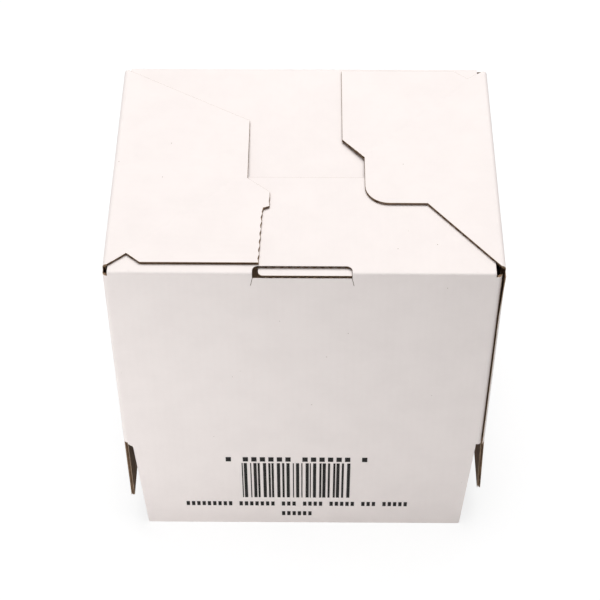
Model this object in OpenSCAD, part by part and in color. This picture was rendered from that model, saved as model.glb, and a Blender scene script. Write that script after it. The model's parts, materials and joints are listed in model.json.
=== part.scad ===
// Corrugated shipping carton with a glued self-locking bottom, standing upside down on its open top flaps.
// X is the width, the front wall faces -Y, and Z is up. The origin is the middle of the footprint.

/* [Inside of the carton] */
// Width of the space inside
inner_w = 160; // [146:1:220]
// Depth of the space inside, front to back
inner_d = 123; // [116:1:180]
// Height of the space inside, rim to bottom panels
inner_h = 110; // [60:1:200]

/* [Board] */
// Thickness of the corrugated board
board_t = 1.5; // [1.2:0.1:1.8]
// Inside radius of a folded edge
fold_in_r = 0.3; // [0.2:0.1:0.6]
// Half of the gap between a flap and its wall at the crease
crease_gap = 0.1; // [0.1:0.05:0.2]
// Clearance between panels that pass or lie under each other unglued
layer_gap = 0.2; // [0.1:0.05:0.4]

/* [Long top flaps] */
// Gap left between the front and back flaps when both are closed
meet_gap = 0.5; // [0.3:0.1:4]
// How far a flap's end stays inside the wall's end, at the crease
flap_end_gap = 0.3; // [0.2:0.1:0.6]
// How far the flap's side lies inside the wall's end below the corner notch
flap_neck = 3.9; // [3.3:0.1:8]
// Height of the corner notch
flap_notch_h = 3.2; // [2.5:0.1:4]
// How far the flap's side lies inside the wall's end at the free edge
flap_taper = 7.2; // [5:0.1:12]
// Radius of the flap's free corners
flap_corner_r = 1.2; // [0.5:0.1:3]

/* [Dust flaps] */
// Length of a dust flap from its crease
dust_len = 47; // [30:1:60]
// How far a dust flap's ends lie inside the front and back walls' outer faces
dust_inset = 2; // [1.9:0.1:4]
// Slant of the dust flap's steep end over its length
dust_slant_small = 0.6; // [0.2:0.1:3]
// Slant of the dust flap's sloping end over its length
dust_slant_large = 5.8; // [3:0.1:12]
// Radius of the dust flap's free corners
dust_corner_r = 1.5; // [0.5:0.1:4]
// Height of the dust flap's crease above the long flaps' closed inner face
dust_step = 0.3; // [0.2:0.1:1]
// Outward lean of the right dust flap at rest, in degrees
right_dust_lean = 2.5; // [0:0.1:2.8]

/* [Glued side seam] */
// Width of the glue tab inside the right wall
tab_w = 28; // [18:1:40]
// Distance of the tab's lower end from the dust flap's crease
tab_low_gap = 4; // [3.5:0.5:10]
// Distance of the tab's upper end from the top of the walls' corners
tab_high_gap = 3; // [1:0.5:10]
// Slope of the tab's ends, as a height over the tab's width
tab_slope = 7; // [2:0.5:12]
// How far the glue presses the tab into the right wall
tab_press = 0.05; // [0.03:0.01:0.1]
// How far the right wall's raw edge lies behind the front wall's face
seam_set = 0.3; // [0.1:0.1:1]

/* [Bottom panels] */
// Open corner between a bottom panel's fold and the bend of the walls' corner
corner_relief = 0.2; // [0:0.1:1.5]
// Reach of the front panel from the front fold
front_reach = 55.5; // [50:0.5:57]
// Length of the front panel's straight sides
shoulder = 15; // [8:1:25]
// Inset of the front and back panels' sides at their free ends
end_taper = 12; // [6:1:16]
// Length over which the back panel dips under the front panel
ramp_len = 34; // [20:1:40]
// Gap between the back panel's free end and the front wall
back_end_gap = 1; // [0.5:0.1:3]
// Radius of the back panel's free corners
back_corner_r = 4; // [2:0.5:8]
// How far the back panel's left side shows inside the slot
back_in_slot = 4.2; // [2:0.2:10]
// Set-back of the side panels' free edges from the front and back walls
side_edge_set = 4.6; // [3.5:0.1:6]
// Set-back of the side panels' folds from the front and back walls
side_fold_set = 3.3; // [3:0.1:4.5]
// Depth of the notch beside the fold of a side panel
notch_depth = 5; // [2:0.5:7]
// Distance of the notch's floor from the fold
notch_mid = 9.2; // [7:0.1:11]
// Distance of the notch's far end from the fold
notch_end = 15; // [12:0.5:18]

/* [Left bottom panel] */
// Reach of the panel's back half from the left fold
left_reach = 57.4; // [50:0.2:58]
// Extra reach of its tongue
left_tongue = 9.6; // [7.6:0.2:11]
// Extra reach of its torn front half
left_torn = 5.8; // [4:0.2:7]
// Lean of the torn edge over its length
torn_lean = 1; // [0:0.1:2]
// Length from the front wall to the end of the torn edge
torn_end = 34.6; // [28:0.2:36]
// Height of the small hook at the torn edge's end
hook_h = 2.2; // [1:0.1:4]
// Length from the front wall to the start of the tongue's slope
tongue_end = 45.2; // [42:0.2:48]
// Length from the back wall to the start of the slanted edge
left_slant_start = 35.5; // [30:0.5:40]
// Width of the blunt corner there
left_blunt = 2; // [1:0.1:4]
// How far the tongue's slope ends short of the front panel's free edge
tongue_gap = 2; // [1:0.1:4]

/* [Right bottom panel] */
// Reach of the panel's front half from the right fold
right_reach = 56.1; // [50:0.1:58]
// Extra reach of its back half
right_tongue = 9.4; // [6:0.2:10]
// Radius of its inner corner
right_corner_r = 10; // [4:0.5:12]
// Length from the front wall to its straight front edge
right_front = 38.8; // [34:0.2:42]
// Distance of the straight front edge's outer end from the right fold
right_slant_end = 30.2; // [26:0.2:34]
// Length from the front wall to the start of the slope to the back half
right_slope_start = 66.5; // [60:0.5:68]
// Length of that slope
right_slope_len = 10.9; // [6:0.1:14]

/* [Slot in the front fold] */
// Width of the slot
slot_w = 40.6; // [30:0.2:60]
// Depth of the slot into the front bottom panel
slot_depth = 4.2; // [3:0.1:8]
// Depth of the slot down the front wall
slot_drop = 2.2; // [1:0.1:4]
// Radius of the slot's inner corners
slot_r = 2.5; // [1:0.1:3]
// Sideways place of the slot's middle
slot_x = -0.7; // [-10:0.1:10]
// Length of the short cut that runs down the wall from each end of the slot
nick_len = 4.5; // [1:0.5:8]
// Width of that cut
nick_w = 0.3; // [0.2:0.05:0.6]
// Outward lean of that cut, in degrees
nick_lean = 11; // [0:1:25]

/* [Print] */
// Thickness of the printed marks
ink_t = 0.1; // [0.05:0.01:0.2]
// Distance of the bars from the long flap's crease
bars_drop = 15.2; // [12:0.1:18]
// Height of the bars
bars_h = 26.9; // [15:0.1:27]
// Width of one unit of the bar pattern
bar_unit = 0.49; // [0.3:0.01:0.6]
// Sideways place of the bars' middle
bars_x = -3.4; // [-10:0.1:10]
// Height of a plain mark in the rows above and below the bars
mark_h = 3.2; // [2:0.1:4]
// Width of such a mark, as a share of the pitch
mark_fill = 0.62; // [0.4:0.01:0.8]
// Distance from one mark to the next in the row above the bars
upper_pitch = 3.9; // [2:0.1:4.5]
// Distance from one mark to the next in the rows below the bars
lower_pitch = 2.5; // [1.5:0.1:2.8]
// Space between the upper row and the bars
upper_gap = 1.3; // [0.5:0.1:3]
// Space between the bars and the first lower row
lower_gap = 3.5; // [2:0.1:5]
// Distance between the two lower rows
row_pitch = 7.9; // [5:0.1:8.2]

/* [Hidden] */
$fn = 48;
eps = 0.5;                                  // overshoot of the cutting shapes
w = inner_w + 2 * board_t;                  // outer width
d = inner_d + 2 * board_t;                  // outer depth
fold_r = fold_in_r + board_t;               // outside radius of a fold
flap_len = d / 2 - meet_gap / 2;            // long flap, crease to free edge
rim_z = flap_len;                           // crease of the long flaps
dust_z = rim_z + board_t + dust_step;       // crease of the dust flaps
layer_drop = board_t + layer_gap;           // the back panel's dip under the front panel
front_z = rim_z + inner_h + board_t + layer_drop;   // outer face of the front and back panels
side_z = front_z + board_t;                 // outer face of the side panels, which lie over them
corner_z = front_z - fold_r;                // where the walls' corners end
front_end_y = -d / 2 + front_reach;         // free edge of the front panel
ramp_end_y = front_end_y + layer_gap;       // where the back panel has dipped under it
back_end_y = -d / 2 + board_t + back_end_gap;       // free end of the back panel
dust_hw = d / 2 - dust_inset;               // half of a dust flap's width at its crease
flap_hw = w / 2 - flap_end_gap;             // half of a long flap's width at its crease
neck_hw = w / 2 - flap_neck;                // and below its corner notches
tip_hw = w / 2 - flap_taper;                // and at its free edge
outside = "white";
print_colour = "black";

// Points of an arc about c from angle a0 to a1
function arc(c, r, a0, a1, n = 8) =
    [for (i = [0:n]) c + r * [cos(a0 + (a1 - a0) * i / n), sin(a0 + (a1 - a0) * i / n)]];

// Sum of the first n values of a list
function total(list, n) = n == 0 ? 0 : list[n - 1] + total(list, n - 1);

// A quarter of a bent board seen end on: outside radius at the origin's lower left
module bend_2d() {
    intersection() {
        difference() {
            circle(fold_r);
            circle(fold_in_r);
        }
        translate([-fold_r, -fold_r]) square(fold_r);
    }
}

// The walls seen from above, with the seam at the front right corner
module walls_2d() {
    translate([-w / 2 + fold_r, -d / 2]) square([w - board_t - 2 * fold_r + tab_press, board_t]);
    translate([-w / 2 + fold_r, d / 2 - board_t]) square([w - 2 * fold_r, board_t]);
    translate([-w / 2, -d / 2 + fold_r]) square([board_t, d - 2 * fold_r]);
    translate([w / 2 - board_t, -d / 2 + seam_set]) square([board_t, d - seam_set - fold_r]);
    translate([-w / 2 + fold_r, -d / 2 + fold_r]) bend_2d();
    translate([-w / 2 + fold_r, d / 2 - fold_r]) rotate(-90) bend_2d();
    translate([w / 2 - fold_r, d / 2 - fold_r]) rotate(180) bend_2d();
    translate([w / 2 - board_t - fold_r + tab_press, -d / 2 + fold_r]) rotate(90) bend_2d();
}

// Cuts a wall's rim to a bevel that meets the flap's bevel when it closes. The outer face lies on y = 0.
module rim_bevel(half_w) {
    rotate([90, 0, 90]) translate([0, 0, -half_w]) linear_extrude(2 * half_w)
        polygon([[-eps, crease_gap - eps], [board_t + eps, crease_gap + board_t + eps],
                 [board_t + eps, -fold_r], [-eps, -fold_r]]);
}

// The walls as one folded ring, cut at the rim for the four flaps
module walls() {
    difference() {
        translate([0, 0, rim_z]) linear_extrude(corner_z - rim_z) walls_2d();
        for (turn = [0, 180]) {
            rotate(turn) translate([0, -d / 2, rim_z]) rim_bevel(w);
            rotate(turn) translate([-w / 2, 0, dust_z]) rotate(-90) rim_bevel(dust_hw + crease_gap);
            rotate(turn) translate([-w / 2 - eps, -dust_hw - crease_gap, rim_z - eps])
                cube([board_t + 2 * eps, 2 * (dust_hw + crease_gap), dust_z - rim_z]);
        }
    }
}

// The strip of the front wall that is folded in and glued behind the right wall
module glue_tab() {
    low = dust_z + tab_low_gap;
    high = corner_z - tab_high_gap;
    translate([w / 2 - 2 * board_t + tab_press, 0, 0]) rotate([90, 0, 90]) linear_extrude(board_t)
        polygon([[-d / 2 + fold_r, low], [-d / 2 + tab_w, low + tab_slope],
                 [-d / 2 + tab_w, high - tab_slope], [-d / 2 + fold_r, high]]);
}

// A wall's upper stretch and its bend into a bottom panel, from a to b along x, its outer face on y = 0
module fold_run(a, b, top) {
    translate([a, 0, corner_z - board_t]) cube([b - a, board_t, top - fold_r - corner_z + board_t]);
    translate([a, fold_r, top - fold_r]) rotate([90, 0, 90]) linear_extrude(b - a) rotate(-90) bend_2d();
}

// The front bottom panel and the bend that carries it
module front_panel() {
    l = -w / 2 + fold_r + corner_relief;
    r = w / 2 - board_t - fold_r;
    translate([0, -d / 2, 0]) fold_run(l, r, front_z);
    translate([0, 0, front_z - board_t]) linear_extrude(board_t)
        polygon([[l, -d / 2 + fold_r], [r, -d / 2 + fold_r], [r, -d / 2 + shoulder],
                 [r - end_taper, front_end_y], [l + end_taper, front_end_y], [l, -d / 2 + shoulder]]);
}

// The slot's shape, open towards the front
module slot_cut() {
    back_y = -d / 2 + slot_depth;
    translate([slot_x, 0, front_z - slot_drop]) linear_extrude(slot_drop + eps)
        polygon(concat([[-slot_w / 2, -d / 2 - eps], [slot_w / 2, -d / 2 - eps]],
                       arc([slot_w / 2 - slot_r, back_y - slot_r], slot_r, 0, 90),
                       arc([-slot_w / 2 + slot_r, back_y - slot_r], slot_r, 90, 180)));
}

// The back panel's section: level with the front panel, then dipping under it and on to the front wall
module back_section_2d() {
    top = [[d / 2 - fold_r, front_z], [ramp_end_y + ramp_len, front_z], [ramp_end_y, front_z - layer_drop],
           [back_end_y, front_z - layer_drop]];
    polygon(concat(top, [for (i = [3:-1:0]) top[i] - [0, board_t]]));
}

// The back panel's outline seen from above
module back_outline_2d() {
    l = -w / 2 + fold_r + corner_relief;
    slot_side = slot_x - slot_w / 2 + back_in_slot + back_corner_r;
    far_side = w / 2 - end_taper - back_corner_r;
    mid_y = ramp_end_y + ramp_len / 2;
    polygon(concat([[l, d / 2 - fold_r], [l + side_fold_set, mid_y]],
                   [[slot_side - back_corner_r, mid_y - ramp_len]],
                   arc([slot_side, back_end_y + back_corner_r], back_corner_r, 180, 270),
                   arc([far_side, back_end_y + back_corner_r], back_corner_r, 270, 360),
                   [[-l - side_fold_set, mid_y], [-l, d / 2 - fold_r]]));
}

// The back bottom panel and the bend that carries it
module back_panel() {
    l = -w / 2 + fold_r + corner_relief;
    rotate(180) translate([0, -d / 2, 0]) fold_run(l, -l, front_z);
    intersection() {
        rotate([90, 0, 90]) translate([0, 0, -w / 2]) linear_extrude(w) back_section_2d();
        translate([0, 0, rim_z]) linear_extrude(side_z - rim_z) back_outline_2d();
    }
}

// The left bottom panel, glued on the front one: a slanted back edge, a tongue and a torn front half
module left_panel() {
    l = -w / 2;
    f = -d / 2;
    b = d / 2;
    reach = l + left_reach;
    tip = reach + left_tongue;
    translate([l, 0, 0]) rotate(-90) fold_run(f + side_fold_set, b - side_fold_set, side_z);
    translate([0, 0, side_z - board_t]) linear_extrude(board_t)
        polygon([[l + fold_r, f + side_fold_set], [l + notch_mid, f + side_edge_set + notch_depth],
                 [l + notch_end, f + side_edge_set], [reach + left_torn, f + side_edge_set],
                 [reach + left_torn + torn_lean, f + torn_end], [tip, f + torn_end + hook_h],
                 [tip, f + tongue_end], [reach, front_end_y - tongue_gap],
                 [reach, b - left_slant_start - left_blunt / 2], [reach - left_blunt, b - left_slant_start],
                 [l + fold_r, b - side_fold_set]]);
}

// The right bottom panel, glued on the back one: a slanted front edge, a round inner corner and a tongue
module right_panel() {
    r = w / 2;
    f = -d / 2;
    b = d / 2;
    reach = r - right_reach;
    tip = reach - right_tongue;
    translate([r, 0, 0]) rotate(90) fold_run(f + side_fold_set, b - side_fold_set, side_z);
    translate([0, 0, side_z - board_t]) linear_extrude(board_t)
        polygon(concat([[r - fold_r, f + side_fold_set], [r - right_slant_end, f + right_front]],
                       arc([reach + right_corner_r, f + right_front + right_corner_r],
                           right_corner_r, 270, 180),
                       [[reach, f + right_slope_start], [tip, f + right_slope_start + right_slope_len],
                        [tip, b - side_fold_set], [r - notch_end, b - side_fold_set],
                        [r - notch_mid, b - side_fold_set - notch_depth], [r - fold_r, b - side_fold_set]]));
}

// The short cuts that run down the front wall from the slot's ends
module nicks() {
    for (side = [-1, 1])
        translate([slot_x + side * (slot_w / 2 - nick_w / 2), -d / 2 - eps, front_z - slot_drop])
            rotate([0, -side * nick_lean, 0]) translate([-nick_w / 2, 0, -nick_len])
                cube([nick_w, board_t + 2 * eps, nick_len + eps]);
}

// One folded sheet: four walls, the glue tab and the four interlocked bottom panels
module carton_body() {
    color(outside) {
        difference() {
            union() {
                walls();
                front_panel();
            }
            slot_cut();
            nicks();
        }
        glue_tab();
        back_panel();
        left_panel();
        right_panel();
    }
}

// A flap that hangs from a crease along x through the origin, cut from an outline in x and z
module hanging_flap(outline) {
    difference() {
        rotate([90, 0, 0]) translate([0, 0, -board_t]) linear_extrude(board_t) polygon(outline);
        mirror([0, 0, 1]) rim_bevel(w);
    }
}

// Outline of a long flap, with the corner notches and the tapered sides
function long_outline() = concat(
    [[-flap_hw, 0], [-neck_hw, -flap_notch_h]],
    arc([-tip_hw + flap_corner_r, -flap_len + flap_corner_r], flap_corner_r, 180, 270, 4),
    arc([tip_hw - flap_corner_r, -flap_len + flap_corner_r], flap_corner_r, 270, 360, 4),
    [[neck_hw, -flap_notch_h], [flap_hw, 0]]);

// Outline of a dust flap, steeper at its +x end
function dust_outline() = concat(
    [[-dust_hw, 0]],
    arc([-dust_hw + dust_slant_large + dust_corner_r, -dust_len + dust_corner_r],
        dust_corner_r, 180, 270, 4),
    arc([dust_hw - dust_slant_small - dust_corner_r, -dust_len + dust_corner_r],
        dust_corner_r, 270, 360, 4),
    [[dust_hw, 0]]);

module front_flap() {
    color(outside) translate([0, -d / 2, rim_z]) hanging_flap(long_outline());
}

module back_flap() {
    color(outside) translate([0, d / 2, rim_z]) rotate(180) hanging_flap(long_outline());
}

module left_dust_flap() {
    color(outside) translate([-w / 2, 0, dust_z]) rotate(-90) hanging_flap(dust_outline());
}

// The right dust flap leans a little outwards
module right_dust_flap() {
    color(outside) translate([w / 2, 0, dust_z]) rotate([0, -right_dust_lean, 0])
        rotate(90) hanging_flap(dust_outline());
}

// One printed field on the front flap: middle x, width, drop below the crease and height
module ink(x, wide, drop, high) {
    translate([x - wide / 2, -d / 2 - ink_t, rim_z - drop - high]) cube([wide, ink_t, high]);
}

// A row of plain marks in groups, centred on x, with its upper side at a drop below the crease
module marks_row(groups, pitch, x, drop) {
    steps = [for (n = groups) (n + 1) * pitch];
    start = x - (total(steps, len(groups)) - 2 * pitch) / 2;
    for (g = [0:len(groups) - 1])
        for (i = [0:groups[g] - 1])
            ink(start + total(steps, g) + i * pitch, pitch * mark_fill, drop, mark_h);
}

// Plain bars that stand for no number, with rows of plain marks where there was lettering
module printed_marks() {
    count = 24;
    widths = [for (i = [0:count - 1]) bar_unit * (1 + floor(2.9 * abs(sin(i * 97))))];
    steps = [for (i = [0:count - 1]) widths[i] + bar_unit * (1 + floor(2.2 * abs(sin(i * 61 + 20))))];
    start = bars_x - total(steps, count) / 2;
    lower = bars_drop + bars_h + lower_gap;
    color(print_colour) {
        for (i = [0:count - 1])
            ink(start + total(steps, i) + widths[i] / 2, widths[i], bars_drop, bars_h);
        marks_row([1, 6, 6, 1], upper_pitch, bars_x, bars_drop - upper_gap - mark_h);
        marks_row([9, 7, 3, 4, 5, 3, 5], lower_pitch, bars_x, lower);
        marks_row([6], lower_pitch, bars_x, lower + row_pitch);
    }
}

carton_body();
front_flap();
back_flap();
left_dust_flap();
right_dust_flap();
printed_marks();
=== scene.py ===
import bmesh
import bpy
import json
import math
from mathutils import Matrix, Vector

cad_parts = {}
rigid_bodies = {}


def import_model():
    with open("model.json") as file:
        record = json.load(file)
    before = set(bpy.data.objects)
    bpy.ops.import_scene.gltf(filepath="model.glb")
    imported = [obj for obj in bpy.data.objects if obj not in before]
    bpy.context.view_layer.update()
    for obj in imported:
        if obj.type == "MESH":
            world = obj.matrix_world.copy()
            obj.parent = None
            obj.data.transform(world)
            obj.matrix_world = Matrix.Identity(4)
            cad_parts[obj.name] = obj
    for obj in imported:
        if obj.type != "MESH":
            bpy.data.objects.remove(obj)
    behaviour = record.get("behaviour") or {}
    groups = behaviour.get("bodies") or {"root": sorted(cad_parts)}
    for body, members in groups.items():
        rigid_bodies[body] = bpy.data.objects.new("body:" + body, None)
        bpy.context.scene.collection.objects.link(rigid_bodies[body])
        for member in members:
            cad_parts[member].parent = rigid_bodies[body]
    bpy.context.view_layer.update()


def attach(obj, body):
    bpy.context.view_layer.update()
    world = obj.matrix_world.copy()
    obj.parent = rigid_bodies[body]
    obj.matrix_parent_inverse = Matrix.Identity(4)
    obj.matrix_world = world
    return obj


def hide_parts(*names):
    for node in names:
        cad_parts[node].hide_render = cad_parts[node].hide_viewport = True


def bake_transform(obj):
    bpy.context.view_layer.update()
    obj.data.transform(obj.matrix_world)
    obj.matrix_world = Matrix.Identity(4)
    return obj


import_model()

# Camera. It stands above and in front of the carton and looks down at the bottom panels and the front wall.
# Its place, turn and lens come from the carton's corners in the photograph.
camera_data = bpy.data.cameras.new("photo_camera")
camera_data.sensor_width = 36
camera_data.lens = 102.05
camera_data.clip_start = 0.01
camera_data.clip_end = 20
camera = bpy.data.objects.new("photo_camera", camera_data)
camera.location = (0.00273, -0.5270, 0.67923)
camera.rotation_euler = (math.radians(41.784), math.radians(0.09), math.radians(0.437))
bpy.context.collection.objects.link(camera)
bpy.context.scene.camera = camera

# Floor and backdrop. The floor is a plain white studio sheet: the camera sees it lifted to white, with the
# carton's soft shadow on it, and it throws a low fill light of its own up at the carton. The backdrop is
# the world, white to the camera and to what mirrors it.
bpy.context.scene.view_settings.view_transform = "Standard"
bpy.ops.object.select_all(action="DESELECT")
bpy.ops.mesh.primitive_plane_add(size=8, location=(0, 0, 0))
floor = bpy.context.object
floor.name = "floor"
floor_paint = bpy.data.materials.new("white_sheet")
floor_paint.use_nodes = True
nodes, links = floor_paint.node_tree.nodes, floor_paint.node_tree.links
shader = nodes["Principled BSDF"]
shader.inputs["Base Color"].default_value = (0.85, 0.85, 0.85, 1)
shader.inputs["Roughness"].default_value = 0.9
shader.inputs["Specular IOR Level"].default_value = 0.1
bounce = nodes.new("ShaderNodeEmission")
bounce.name = "bounce"
bounce.inputs["Strength"].default_value = 0.225
lit_sheet = nodes.new("ShaderNodeAddShader")
links.new(shader.outputs[0], lit_sheet.inputs[0])
links.new(bounce.outputs[0], lit_sheet.inputs[1])
glow = nodes.new("ShaderNodeEmission")
glow.name = "glow"
glow.inputs["Strength"].default_value = 0.828
seen = nodes.new("ShaderNodeBsdfDiffuse")
seen.inputs["Color"].default_value = (0.24, 0.24, 0.24, 1)
lifted_sheet = nodes.new("ShaderNodeAddShader")
links.new(glow.outputs[0], lifted_sheet.inputs[0])
links.new(seen.outputs[0], lifted_sheet.inputs[1])
rays = nodes.new("ShaderNodeLightPath")
choice = nodes.new("ShaderNodeMixShader")
links.new(rays.outputs["Is Camera Ray"], choice.inputs[0])
links.new(lit_sheet.outputs[0], choice.inputs[1])
links.new(lifted_sheet.outputs[0], choice.inputs[2])
links.new(choice.outputs[0], nodes["Material Output"].inputs["Surface"])
floor.data.materials.append(floor_paint)

world = bpy.data.worlds.new("studio")
world.use_nodes = True
bpy.context.scene.world = world
nodes, links = world.node_tree.nodes, world.node_tree.links
room = nodes["Background"]
room.inputs["Color"].default_value = (1, 1, 1, 1)
room.inputs["Strength"].default_value = 0.175
backdrop = nodes.new("ShaderNodeBackground")
backdrop.inputs["Color"].default_value = (1, 1, 1, 1)
backdrop.inputs["Strength"].default_value = 1.0
rays = nodes.new("ShaderNodeLightPath")
mirrored = nodes.new("ShaderNodeMath")
mirrored.operation = "MAXIMUM"
links.new(rays.outputs["Is Camera Ray"], mirrored.inputs[0])
links.new(rays.outputs["Is Transmission Ray"], mirrored.inputs[1])
seen_white = nodes.new("ShaderNodeMath")
seen_white.operation = "MAXIMUM"
links.new(mirrored.outputs[0], seen_white.inputs[0])
links.new(rays.outputs["Is Glossy Ray"], seen_white.inputs[1])
choice = nodes.new("ShaderNodeMixShader")
links.new(seen_white.outputs[0], choice.inputs[0])
links.new(room.outputs[0], choice.inputs[1])
links.new(backdrop.outputs[0], choice.inputs[2])
links.new(choice.outputs[0], nodes["World Output"].inputs["Surface"])

# Lamps. A wide softbox hangs overhead and lights the bottom panels. A small low one stands at the left and
# shades the front wall from left to right.
lamps = [("overhead_softbox", (0.0, 0.18, 1.4), 1.0, 16.2),
         ("left_softbox", (-0.25, -0.35, 0.12), 0.2, 0.43)]
for name, place, size, power in lamps:
    lamp_data = bpy.data.lights.new(name, "AREA")
    lamp_data.size = size
    lamp_data.energy = power
    lamp = bpy.data.objects.new(name, lamp_data)
    lamp.location = place
    lamp.rotation_euler = (Vector((0, 0, 0.1)) - Vector(place)).to_track_quat("-Z", "Y").to_euler()
    bpy.context.collection.objects.link(lamp)

# Outer liner of the shell: the white paper face of one folded sheet of corrugated board. Its four walls
# make a ring whose raw end laps the glue tab at the front right corner, and its four bottom panels are
# folded in from the tops of the walls.
half_width = 0.0815
half_depth = 0.063
board = 0.0015
liner = 0.00022
fold = 0.0018
rim = 0.06275
wall_height = 0.1132
crease_half = 0.0013
flute_pitch = 0.0033
dust_rim = rim + fold
front_top = rim + wall_height
side_top = front_top + board
corner_top = front_top - fold
bend_x = half_width - fold
bend_y = half_depth - fold
side_fold_end = 0.0597
front_fold_end = 0.0776
back_fold_end = 0.0772
front_fold_start = -0.0795
back_fold_start = -0.0786
raw_bend_x = 0.07825
raw_end_y = 0.0627
raw_end_lean = 0.0008
raw_end_lean_top = 0.150
tab_face = half_width - board + 0.00005
# Width of the hair-thin strip round each bottom panel, coloured on the outer face as painted shade along
# its cut edge.
painted_shade_strip = 0.00005
outward = (0, -1, 0)


def paper(name, dark, pale, cloud_scale, roughness, ribs, grain, fleck=None):
    """Paper with clouds of two near shades, the ribs of the flutes, a fine grain and maybe a few flecks."""
    material = bpy.data.materials.new(name)
    material.use_nodes = True
    nodes, links = material.node_tree.nodes, material.node_tree.links
    shader = nodes["Principled BSDF"]
    shader.inputs["Specular IOR Level"].default_value = 0.25
    place = nodes.new("ShaderNodeTexCoord")
    clouds = nodes.new("ShaderNodeTexNoise")
    clouds.inputs["Scale"].default_value = cloud_scale
    clouds.inputs["Detail"].default_value = 5
    clouds.inputs["Roughness"].default_value = 0.62
    links.new(place.outputs["Object"], clouds.inputs["Vector"])
    shades = nodes.new("ShaderNodeValToRGB")
    shades.color_ramp.elements[0].position = 0.36
    shades.color_ramp.elements[0].color = (*dark, 1)
    shades.color_ramp.elements[1].position = 0.62
    shades.color_ramp.elements[1].color = (*pale, 1)
    links.new(clouds.outputs["Fac"], shades.inputs["Fac"])
    links.new(shades.outputs["Color"], shader.inputs["Base Color"])
    if fleck:
        cells = nodes.new("ShaderNodeTexVoronoi")
        cells.inputs["Scale"].default_value = 90
        links.new(place.outputs["Object"], cells.inputs["Vector"])
        near = nodes.new("ShaderNodeMath")
        near.operation = "LESS_THAN"
        near.inputs[1].default_value = 0.016
        links.new(cells.outputs["Distance"], near.inputs[0])
        flecked = nodes.new("ShaderNodeMixRGB")
        flecked.inputs["Color2"].default_value = (*fleck, 1)
        links.new(near.outputs[0], flecked.inputs["Fac"])
        links.new(shades.outputs["Color"], flecked.inputs["Color1"])
        links.new(flecked.outputs["Color"], shader.inputs["Base Color"])
    gloss = nodes.new("ShaderNodeMapRange")
    gloss.inputs["To Min"].default_value = roughness - 0.05
    gloss.inputs["To Max"].default_value = roughness + 0.08
    links.new(clouds.outputs["Fac"], gloss.inputs["Value"])
    links.new(gloss.outputs["Result"], shader.inputs["Roughness"])
    across = nodes.new("ShaderNodeUVMap")
    across.uv_map = "board"
    split = nodes.new("ShaderNodeSeparateXYZ")
    links.new(across.outputs["UV"], split.inputs["Vector"])
    turns = nodes.new("ShaderNodeMath")
    turns.operation = "MULTIPLY"
    turns.inputs[1].default_value = 2 * math.pi / flute_pitch
    links.new(split.outputs["X"], turns.inputs[0])
    wave = nodes.new("ShaderNodeMath")
    wave.operation = "SINE"
    links.new(turns.outputs[0], wave.inputs[0])
    rib_bump = nodes.new("ShaderNodeBump")
    rib_bump.inputs["Strength"].default_value = 1
    rib_bump.inputs["Distance"].default_value = ribs
    links.new(wave.outputs[0], rib_bump.inputs["Height"])
    fibres = nodes.new("ShaderNodeTexNoise")
    fibres.inputs["Scale"].default_value = 1400
    fibres.inputs["Detail"].default_value = 3
    links.new(place.outputs["Object"], fibres.inputs["Vector"])
    grain_bump = nodes.new("ShaderNodeBump")
    grain_bump.inputs["Strength"].default_value = 1
    grain_bump.inputs["Distance"].default_value = grain
    links.new(fibres.outputs["Fac"], grain_bump.inputs["Height"])
    links.new(rib_bump.outputs["Normal"], grain_bump.inputs["Normal"])
    links.new(grain_bump.outputs["Normal"], shader.inputs["Normal"])
    return material


white_paper = paper("white_paper", (0.925, 0.853, 0.828), (0.950, 0.878, 0.852), 60, 0.60,
                    0.000012, 0.00001, (0.30, 0.22, 0.15))
brown_paper = paper("brown_paper", (0.258, 0.168, 0.105), (0.312, 0.205, 0.131), 420, 0.80,
                    0.000030, 0.00002)
cut_paper = paper("cut_paper", (0.32, 0.23, 0.155), (0.48, 0.36, 0.26), 900, 0.85, 0.000001, 0.00003)


def arc(x, y, r, start, end, steps=8):
    angles = [math.radians(start + (end - start) * i / steps) for i in range(steps + 1)]
    return [(x + r * math.cos(a), y + r * math.sin(a)) for a in angles]


def lifted(outline, z):
    return [(x, y, z) for x, y in outline]


def new_sheet(name):
    bpy.ops.object.select_all(action="DESELECT")
    bpy.ops.mesh.primitive_plane_add(size=0.001)
    sheet = bpy.context.object
    sheet.name = name
    sheet.data.name = name
    bpy.ops.object.mode_set(mode="EDIT")
    bpy.ops.mesh.delete(type="VERT")
    return sheet


def draw_line(points):
    """Draws from point to point: a tiny plane is merged to the first one and extruded on to the next."""
    bpy.ops.mesh.select_mode(type="VERT")
    bpy.ops.mesh.select_all(action="DESELECT")
    bpy.ops.mesh.primitive_plane_add(size=0.0001, location=points[0])
    bpy.ops.mesh.merge(type="CENTER")
    for here, there in zip(points, points[1:]):
        step = Vector(there) - Vector(here)
        bpy.ops.mesh.extrude_vertices_move(TRANSFORM_OT_translate={"value": step})
    bpy.ops.mesh.select_linked()


def draw_face(points):
    draw_line(points)
    bpy.ops.mesh.edge_face_add()


def stretch(step):
    bpy.ops.mesh.extrude_region_move(TRANSFORM_OT_translate={"value": step})


def select_edges(test):
    bpy.ops.mesh.select_mode(type="EDGE")
    bpy.ops.mesh.select_all(action="DESELECT")
    mesh = bmesh.from_edit_mesh(bpy.context.object.data)
    for edge in mesh.edges:
        if test(edge.verts[0].co) and test(edge.verts[1].co):
            edge.select_set(True)
    bmesh.update_edit_mesh(bpy.context.object.data)


def modify(piece, kind, **settings):
    bpy.ops.object.select_all(action="DESELECT")
    piece.select_set(True)
    bpy.context.view_layer.objects.active = piece
    modifier = piece.modifiers.new(kind, kind)
    for key, value in settings.items():
        setattr(modifier, key, value)
    bpy.ops.object.modifier_apply(modifier=modifier.name)


def merge_all():
    bpy.ops.mesh.select_mode(type="VERT")
    bpy.ops.mesh.select_all(action="SELECT")
    bpy.ops.mesh.remove_doubles(threshold=0.000004)


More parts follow.
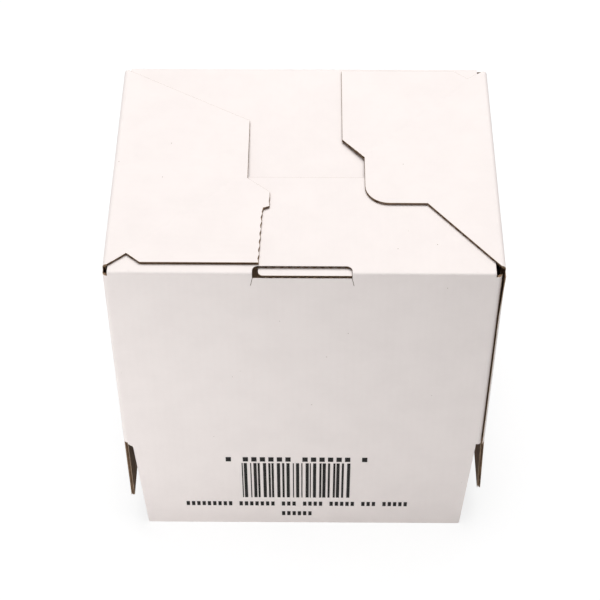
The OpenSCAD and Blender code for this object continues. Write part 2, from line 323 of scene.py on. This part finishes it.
def thicken(sheet, thickness, point, way, materials):
    """Closes the drawn sheet, turns its face at point towards way, and thickens it behind that face."""
    merge_all()
    bpy.ops.mesh.normals_make_consistent(inside=False)
    bpy.ops.object.mode_set(mode="OBJECT")
    nearest = min(sheet.data.polygons, key=lambda face: (face.center - Vector(point)).length)
    if nearest.normal.dot(Vector(way)) < 0:
        sheet.data.flip_normals()
    for material in materials:
        sheet.data.materials.append(material)
    modify(sheet, "SOLIDIFY", thickness=thickness, offset=-1, use_even_offset=True,
           material_offset=1, material_offset_rim=2)


front_outline = [(front_fold_start, -bend_y), (front_fold_end, -bend_y), (front_fold_end, -0.048),
                 (0.0662, -0.0075), (-0.0675, -0.0075), (front_fold_start, -0.048)]
back_level = [(back_fold_start, bend_y), (back_fold_end, bend_y), (0.07729, 0.0267), (-0.07729, 0.0267)]
tongue_drop = 0.0017
back_ramp = [(-0.07729, 0.0267, 0), (0.07729, 0.0267, 0), (0.0762, 0.0097, tongue_drop / 2),
             (0.07448, -0.0073, tongue_drop), (-0.0465, -0.0073, tongue_drop),
             (-0.0762, 0.0097, tongue_drop / 2)]
back_tongue = (arc(0.0655, -0.0565, 0.004, 0, -90) + [(0.0194, -0.0605), (0.0194, -0.0626)]
               + arc(-0.0166, -0.0606, 0.002, 270, 180) + [(-0.0186, -0.0233)])
back_low = [(-0.0465, -0.0073), (0.07448, -0.0073)] + back_tongue


def left_outline(back_off, tear):
    """The left panel's outline, its free edges set back a little, with the torn teeth of its front half."""
    teeth = []
    for i in range(1, 27):
        y = -0.0584 + 0.0300 * i / 27
        bite = abs(math.sin(i * 2.39)) ** 2
        teeth.append((-0.0183 + 0.0010 * i / 27 - back_off - tear * bite, y))
    return ([(-bend_x, -side_fold_end), (-0.0723, -0.0534), (-0.0665, -0.0584)]
            + [(-0.0183 - back_off, -0.0584)] + teeth
            + [(-0.0173 - back_off, -0.0284), (-0.0166 - back_off - tear, -0.0272),
               (-0.0145 - back_off, -0.0262), (-0.0145 - back_off - tear / 2, -0.0232),
               (-0.0145 - back_off, -0.0205), (-0.0145 - back_off, -0.0178),
               (-0.0241 - back_off, -0.0095), (-0.0241 - back_off, 0.0265),
               (-0.0261, 0.0275), (-bend_x, side_fold_end)])


def right_outline(back_off):
    return ([(bend_x, -side_fold_end), (0.0513 + back_off, -0.0242 + back_off / 2)]
            + arc(0.0354, -0.0142, 0.010 - back_off, 270, 180)
            + [(0.0254 + back_off, 0.0035), (0.0160 + back_off, 0.0144), (0.0160 + back_off, side_fold_end),
               (0.0665, side_fold_end), (0.0723, 0.0547), (bend_x, side_fold_end)])


def draw_panel(points):
    """A flat panel with a hair-thin strip all round, which the outer face colours as painted shade along
    the cut edge.
    """
    draw_face(points)
    bpy.ops.mesh.inset(thickness=painted_shade_strip, use_boundary=True)


def folded_sheet(name, depth, back_off, tear, materials):
    """One paper face of the whole folded shell, at a depth below the board's outer face.

    The outer face runs on past the corner at its raw end, which leans in towards the rim, and it bends
    tighter than the inner one at the front and back folds.
    """
    r = fold - depth
    x, y = half_width - depth, half_depth - depth
    raw_end = raw_end_y if depth == 0 else bend_y
    tight = 0.0008 if depth == 0 else 0
    quarter = math.radians(90)
    ring = ([(x, -raw_end), (x, -0.06105), (x, -side_fold_end), (x, side_fold_end), (x, 0.06105)]
            + arc(bend_x, bend_y, r, 0, 90)
            + [(back_fold_end, y), (back_fold_start, y)]
            + arc(-bend_x, bend_y, r, 90, 180)
            + [(-x, 0.06105), (-x, side_fold_end), (-x, -side_fold_end), (-x, -0.06105)]
            + arc(-bend_x, -bend_y, r, 180, 270)
            + [(front_fold_start, -y), (front_fold_end, -y)]
            + arc(raw_bend_x, -bend_y, r, 270, 360))
    sheet = new_sheet(name)
    low = dust_rim + crease_half
    draw_line(lifted(ring, low))
    stretch((0, 0, raw_end_lean_top - low))
    stretch((0, 0, corner_top - raw_end_lean_top))
    select_edges(lambda v: abs(v.z - low) < 1e-6 and (abs(v.x) < x - 1e-5 or abs(v.y) > 0.0610))
    stretch((0, 0, rim + crease_half - low))
    select_edges(lambda v: abs(v.z - rim - crease_half) < 1e-6
                 and (abs(v.x) > 0.07965 or v.x > 0.0775 and v.y < 0))
    stretch((0, 0, -crease_half))
    if depth == 0:
        select_edges(lambda v: abs(v.y + raw_end_y) < 1e-6 and v.z < raw_end_lean_top + 0.001)
        bpy.ops.transform.translate(value=(-raw_end_lean, 0, 0))
    tab = tab_face - depth
    draw_face([(tab, -bend_y, 0.06855), (tab, -0.035, 0.07555),
               (tab, -0.035, 0.16415), (tab, -bend_y, 0.17115)])
    for side in (-1, 1):
        fold_end = front_fold_end if side < 0 else back_fold_end
        select_edges(lambda v: abs(v.z - corner_top) < 1e-6 and abs(v.y - side * y) < 1e-5
                     and front_fold_start - 1e-5 < v.x < fold_end + 1e-5)
        stretch((0, 0, tight))
        middle_of_bend = (0, side * (bend_y + tight), corner_top + tight)
        bpy.ops.mesh.spin(steps=8, angle=quarter, center=middle_of_bend, axis=(-side, 0, 0))
        stretch((0, -side * tight, 0))
        select_edges(lambda v: abs(v.z - corner_top) < 1e-6 and abs(v.x - side * x) < 1e-5
                     and abs(v.y) < side_fold_end + 1e-5)
        stretch((0, 0, side_top - fold - corner_top))
        middle_of_bend = (side * bend_x, 0, side_top - fold)
        bpy.ops.mesh.spin(steps=8, angle=quarter, center=middle_of_bend, axis=(0, side, 0))
    draw_panel(lifted(front_outline, front_top - depth))
    draw_face(lifted(back_level, front_top - depth))
    draw_face([(a, b, front_top - depth - drop) for a, b, drop in back_ramp])
    draw_face(lifted(back_low, front_top - depth - tongue_drop))
    draw_panel(lifted(left_outline(back_off, tear), side_top - depth))
    draw_panel(lifted(right_outline(back_off), side_top - depth))
    merge_all()
    if depth == 0:
        # Painted shade: the hair-thin strips round the front, left and right panels take the cut-edge
        # colour, a faint dark line standing in for the shade at each panel's cut edge.
        mesh = bmesh.from_edit_mesh(sheet.data)
        for face in mesh.faces:
            spot = face.calc_center_median()
            inside = abs(spot.x) < 0.0796 and abs(spot.y) < 0.0611
            if inside and face.calc_area() < 0.00001 and any(edge.is_boundary for edge in face.edges):
                face.material_index = 2
        bmesh.update_edit_mesh(sheet.data)
        score(-1, (-bend_x, -0.0602, side_top))
        score(1, (bend_x, side_fold_end, side_top))
    thicken(sheet, liner, (0, -y, 0.12), outward, materials)
    return sheet


def score(side, point):
    """Presses a shallow 45 degree crease line through point into the left (-1) or right (1) panel."""
    across = Vector((1, -1, 0)).normalized()
    for shift in (-0.0006, 0, 0.0006):
        bpy.ops.mesh.select_mode(type="FACE")
        bpy.ops.mesh.select_all(action="DESELECT")
        mesh = bmesh.from_edit_mesh(bpy.context.object.data)
        for face in mesh.faces:
            spot = face.calc_center_median()
            if abs(spot.z - side_top) < 1e-6 and side * spot.x > 0.02:
                face.select_set(True)
        bmesh.update_edit_mesh(bpy.context.object.data)
        bpy.ops.mesh.bisect(plane_co=Vector(point) + across * shift, plane_no=across)
    select_edges(lambda v: abs((v - Vector(point)).dot(across)) < 1e-6 and abs(v.z - point[2]) < 1e-6)
    bpy.ops.transform.translate(value=(0, 0, -0.00012))


outer = folded_sheet("carton_board", 0, 0.00012, 0.0005, [white_paper, brown_paper, cut_paper])

# Slot in the front fold: a finger hole with round inner corners that the die cuts through the board, with a
# short slit that runs down the front wall from each of its ends. The back panel's tongue lies behind it, in
# a bed that is cut out of the wall's flutes and inner liner.


def cut(piece, tool, operation="DIFFERENCE"):
    modify(piece, "BOOLEAN", object=tool, operation=operation, solver="EXACT")


def block(name, outline, height):
    tool = new_sheet(name)
    draw_face(outline)
    stretch(height)
    bpy.ops.mesh.select_all(action="SELECT")
    bpy.ops.mesh.normals_make_consistent(inside=False)
    bpy.ops.object.mode_set(mode="OBJECT")
    return tool


slot_left = -0.0210
slot_right = 0.0196
slot_start = -0.0640
slot_round = 0.0025
slit_low = 0.16850
slit_high = 0.17310
slot_plan = ([(slot_left, slot_start), (slot_right, slot_start)]
             + arc(slot_right - slot_round, -0.0613, slot_round, 0, 90)
             + arc(slot_left + slot_round, -0.0613, slot_round, 90, 180))
slot_front = [(slot_left, slot_start), (slot_right, slot_start),
              (slot_right, -0.0627), (slot_left, -0.0627)]
slot_tools = [block("slot_tool", lifted(slot_plan, 0.17435), (0, 0, 0.003)),
              block("slot_front_tool", lifted(slot_front, 0.17290), (0, 0, 0.0039))]
tongue_bed = block("tongue_bed_tool", lifted([(-0.0209, -0.0627), (0.0195, -0.0627), (0.0195, -0.0613),
                                              (-0.0209, -0.0613)], 0.17225), (0, 0, 0.0043))
for side, x in ((-1, slot_left), (1, slot_right)):
    lean = side * 0.0045 * math.sin(math.radians(11))
    near, far = x, x - side * 0.00025
    slit = [(near, slot_start, slit_high), (far, slot_start, slit_high),
            (far + lean, slot_start, slit_low), (near + lean, slot_start, slit_low)]
    slot_tools.append(block("slit_tool", slit, (0, 0.003, 0)))
for tool in slot_tools:
    cut(outer, tool)

# Inner liner of the shell: the brown kraft face of the same folded sheet, glued to the flutes 1.3 mm behind
# the white one. The slot and the tongue's bed are cut through it too.
inner = folded_sheet("carton_inner_liner", board - liner, 0, 0.0003, [brown_paper, brown_paper, cut_paper])
for tool in slot_tools + [tongue_bed]:
    cut(inner, tool)

# Fluting: the wavy brown paper between the two liners. Its waves run up the walls and on along each bottom
# panel, away from its fold, so they show as a zigzag at some cut edges and as a dark groove at others.
flute_paper = 0.00012
flute_rise = (board - 2 * liner - flute_paper) / 2
middle = board / 2
wave_paper = paper("wave_paper", (0.200, 0.125, 0.075), (0.300, 0.195, 0.122), 500, 0.85, 0.000001, 0.00003)


def fluting(name, start, across, count, into, steps, outline=None, height=None):
    """Waves from start on, drawn once and repeated count times across, then cut to the panel's outline."""
    sheet = new_sheet(name)
    start, across, into = Vector(start), Vector(across), Vector(into)
    draw_line([start + across * flute_pitch * i / 8 + into * flute_rise * math.cos(math.pi * i / 4)
               for i in range(9)])
    for step in steps:
        stretch(step)
    bpy.ops.object.mode_set(mode="OBJECT")
    modify(sheet, "ARRAY", count=count, use_relative_offset=False, use_constant_offset=True,
           constant_offset_displace=across * flute_pitch, use_merge_vertices=True, merge_threshold=0.00001)
    modify(sheet, "SOLIDIFY", thickness=flute_paper, offset=0)
    sheet.data.materials.append(wave_paper)
    if outline:
        tool = new_sheet("outline_tool")
        draw_face(outline)
        bpy.ops.mesh.inset(thickness=0.00015, use_boundary=True)
        bpy.ops.mesh.select_all(action="INVERT")
        bpy.ops.mesh.delete(type="FACE")
        bpy.ops.mesh.select_all(action="SELECT")
        stretch(height)
        bpy.ops.mesh.select_all(action="SELECT")
        bpy.ops.mesh.normals_make_consistent(inside=False)
        bpy.ops.object.mode_set(mode="OBJECT")
        cut(sheet, tool, "INTERSECT")
        bpy.data.objects.remove(tool)
    return sheet


back_plan = ([(back_fold_start, bend_y), (back_fold_end, bend_y), (0.0762, 0.0097)]
             + back_tongue + [(-0.0762, 0.0097)])
right, up, deep = (1, 0, 0), (0, 0, 1), (0, 1, 0)
flutes = [
    fluting("front_wall_fluting", (-bend_x, -half_depth + middle, 0.0643), right, 47, deep,
            [(0, 0, 0.1093)]),
    fluting("back_wall_fluting", (-0.0792, half_depth - middle, 0.0643), right, 48, deep,
            [(0, 0, 0.1093)]),
    fluting("left_wall_fluting", (-half_width + middle, -0.0594, 0.0661), deep, 36, right,
            [(0, 0, 0.1091)]),
    fluting("right_wall_fluting", (half_width - middle, -0.0567, 0.0661), deep, 35, right,
            [(0, 0, 0.1079)]),
    fluting("glue_tab_fluting", (tab_face - middle, -bend_y, 0.0757), deep, 8, right, [(0, 0, 0.0883)]),
    fluting("front_panel_fluting", (-0.0800, -bend_y, front_top - middle), right, 49, up,
            [(0, 0.0545, 0)], lifted(front_outline, front_top - 0.003), (0, 0, 0.005)),
    fluting("back_panel_fluting", (-0.0800, 0.0620, front_top - middle), right, 49, up,
            [(0, -0.0353, 0), (0, -0.0340, -tongue_drop), (0, -0.0560, 0)],
            lifted(back_plan, front_top - 0.005), (0, 0, 0.007)),
    fluting("left_panel_fluting", (-bend_x, -0.0600, side_top - middle), deep, 37, up, [(0.070, 0, 0)],
            lifted(left_outline(0, 0.0002), side_top - 0.003), (0, 0, 0.005)),
    fluting("right_panel_fluting", (bend_x, -0.0600, side_top - middle), deep, 37, up, [(-0.070, 0, 0)],
            lifted(right_outline(0), side_top - 0.003), (0, 0, 0.005))]
cut(flutes[5], slot_tools[0])
cut(flutes[0], tongue_bed)
for tool in slot_tools + [tongue_bed]:
    bpy.data.objects.remove(tool)

# Crushed board in the folds: at each fold and corner the flutes are pressed flat between the liners, and
# their brown ends show where the folds stop short of the corners. With it the shell is whole and rides as
# one piece.


def crushed(name, line, step):
    sheet = new_sheet(name)
    draw_line(line)
    stretch(step)
    bpy.ops.object.mode_set(mode="OBJECT")
    modify(sheet, "SOLIDIFY", thickness=0.0009, offset=0)
    sheet.data.materials.append(wave_paper)
    return sheet


bend = fold - middle
corner_height = (0, 0, corner_top - rim - 0.0004)
folds = [crushed("corner_core", lifted(arc(x, y, bend, turn, turn + 90), rim + 0.0002), corner_height)
         for x, y, turn in ((bend_x, bend_y, 0), (-bend_x, bend_y, 90), (-bend_x, -bend_y, 180),
                            (raw_bend_x, -bend_y, 270))]
for side, start, end in ((-1, front_fold_start + 0.0001, front_fold_end - 0.0001),
                         (1, back_fold_start + 0.0001, back_fold_end - 0.0001)):
    curve = [(start, side * y, z) for y, z in arc(bend_y, corner_top, bend, 0, 90)]
    if side > 0:
        folds.append(crushed("fold_core", curve, (end - start, 0, 0)))
    else:
        folds.append(crushed("fold_core", curve, (0.0584, 0, 0)))
        right_part = [(0.0197, y, z) for x, y, z in curve]
        folds.append(crushed("fold_core", right_part, (end - 0.0197, 0, 0)))
    curve = [(side * x, -0.0596, z) for x, z in arc(bend_x, side_top - fold, bend, 0, 90)]
    folds.append(crushed("fold_core", curve, (0, 0.1192, 0)))


def join(name, pieces):
    bpy.ops.object.select_all(action="DESELECT")
    for piece in pieces:
        piece.select_set(True)
    bpy.context.view_layer.objects.active = pieces[0]
    bpy.ops.object.join()
    joined = bpy.context.object
    joined.name = name
    joined.data.name = name
    return joined


def lay_board_map(piece, along_y):
    """Writes how far across the flutes each corner of the mesh lies, for the ribs in the paper."""
    layer = piece.data.uv_layers.new(name="board")
    for face in piece.data.polygons:
        for loop in face.loop_indices:
            spot = piece.data.vertices[piece.data.loops[loop].vertex_index].co
            across = spot.y if along_y(face) else spot.x
            layer.data[loop].uv = (across, spot.z)


carton = join("carton_board", [outer, inner] + flutes + folds)
lay_board_map(carton, lambda face: face.center.z > front_top + 0.00002
              or abs(face.normal.x) > 0.5 and abs(face.center.x) > 0.078)
bpy.ops.object.shade_smooth_by_angle(angle=math.radians(35))
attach(carton, "carton")
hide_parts("carton_body")

# Closing flaps: the same board, cut with tapered sides and small round corners. Each hangs from its wall's
# rim on a pressed crease and swings on it. The two long ones carry the box here, and the two dust flaps
# hang free.
dust_half = 0.0610
long_half = ([(bend_x, -crease_half), (0.0778, -0.0029), (0.0775, -0.0036)]
             + arc(0.0731, -0.06155, 0.0012, 0, -90, 4))
other_half = [(-x, z) for x, z in reversed(long_half)]
long_outline = long_half + other_half
front_long_outline = [(front_fold_end, -crease_half)] + long_half[2:] + other_half
dust_outline = ([(dust_half, -crease_half)] + arc(0.0589, -0.0455, 0.0015, 0, -90, 4)
                + arc(-0.0537, -0.0455, 0.0015, 270, 180, 4) + [(-dust_half, -crease_half)])


def flap(name, body, outline, count, place, turn, lean=0):
    def upright(y):
        return [(x, y, z) for x, z in outline]

    outer_paper = new_sheet(name)
    draw_face(upright(0))
    thicken(outer_paper, liner, (0, 0, -0.02), outward, [white_paper, brown_paper, cut_paper])
    inner_paper = new_sheet(name + "_inner_liner")
    draw_face(upright(board - liner))
    thicken(inner_paper, liner, (0, board - liner, -0.02), outward, [brown_paper, brown_paper, cut_paper])
    low = min(z for x, z in outline)
    core = fluting(name + "_fluting", (-count * flute_pitch / 2, middle, -0.0015), right, count, deep,
                   [(0, 0, low + 0.0010)], upright(-0.001), (0, 0.004, 0))
    piece = join(name + "_board", [outer_paper, inner_paper, core])
    lay_board_map(piece, lambda face: False)
    piece.location = place
    piece.rotation_euler = (math.radians(lean), 0, math.radians(turn))
    bpy.ops.object.transform_apply(location=True, rotation=True, scale=False)
    bpy.ops.object.shade_smooth_by_angle(angle=math.radians(35))
    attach(piece, body)
    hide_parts(name)


flap("front_flap", "front_flap", front_long_outline, 49, (0, -half_depth, rim), 0)
flap("back_flap", "back_flap", long_outline, 49, (0, half_depth, rim), 180)
flap("left_dust_flap", "left_dust_flap", dust_outline, 38, (-half_width, 0, dust_rim), -90)
flap("right_dust_flap", "right_dust_flap", dust_outline, 38, (half_width, 0, dust_rim), 90, -2.5)

# Creases: the strip of board between each wall and its flap, with its flutes crushed flat between the two
# liners.


def crease(body, left_end, right_end, place, turn):
    rows = 8
    papers = []
    layers = [(0, liner, [white_paper, brown_paper, cut_paper]),
              (liner + 0.00002, board - 2 * liner - 0.00004, [wave_paper, wave_paper, wave_paper]),
              (board - liner, liner, [brown_paper, brown_paper, cut_paper])]
    for depth, thickness, materials in layers:
        strip = new_sheet(body + "_crease")
        draw_line([(left_end, depth, crease_half), (right_end, depth, crease_half)])
        for row in range(rows):
            stretch((0, 0, -2 * crease_half / rows))
        thicken(strip, thickness, (0, depth, 0), outward, materials)
        papers.append(strip)
    piece = join(body + "_crease", papers)
    lay_board_map(piece, lambda face: False)
    piece.location = place
    piece.rotation_euler = (0, 0, math.radians(turn))
    bpy.ops.object.transform_apply(location=True, rotation=True, scale=False)
    bpy.ops.object.shade_smooth_by_angle(angle=math.radians(35))
    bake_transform(piece)


crease("front_flap", -bend_x, front_fold_end, (0, -half_depth, rim), 0)
crease("back_flap", -bend_x, bend_x, (0, half_depth, rim), 180)
crease("left_dust_flap", -dust_half, dust_half, (-half_width, 0, dust_rim), -90)
crease("right_dust_flap", -dust_half, dust_half, (half_width, 0, dust_rim), 90)

# Print on the front flap: black ink in plain bars and rows of plain marks, laid on the white liner.
ink = bpy.data.materials.new("print_ink")
ink.use_nodes = True
nodes, links = ink.node_tree.nodes, ink.node_tree.links
shader = nodes["Principled BSDF"]
shader.inputs["Specular IOR Level"].default_value = 0.15
place = nodes.new("ShaderNodeTexCoord")
specks = nodes.new("ShaderNodeTexNoise")
specks.inputs["Scale"].default_value = 1200
specks.inputs["Detail"].default_value = 3
links.new(place.outputs["Object"], specks.inputs["Vector"])
shades = nodes.new("ShaderNodeValToRGB")
shades.color_ramp.elements[0].position = 0.40
shades.color_ramp.elements[0].color = (0.008, 0.0075, 0.007, 1)
shades.color_ramp.elements[1].position = 0.75
shades.color_ramp.elements[1].color = (0.026, 0.024, 0.022, 1)
links.new(specks.outputs["Fac"], shades.inputs["Fac"])
links.new(shades.outputs["Color"], shader.inputs["Base Color"])
shader.inputs["Roughness"].default_value = 0.55
bpy.data.objects["printed_marks"].data.materials[0] = ink
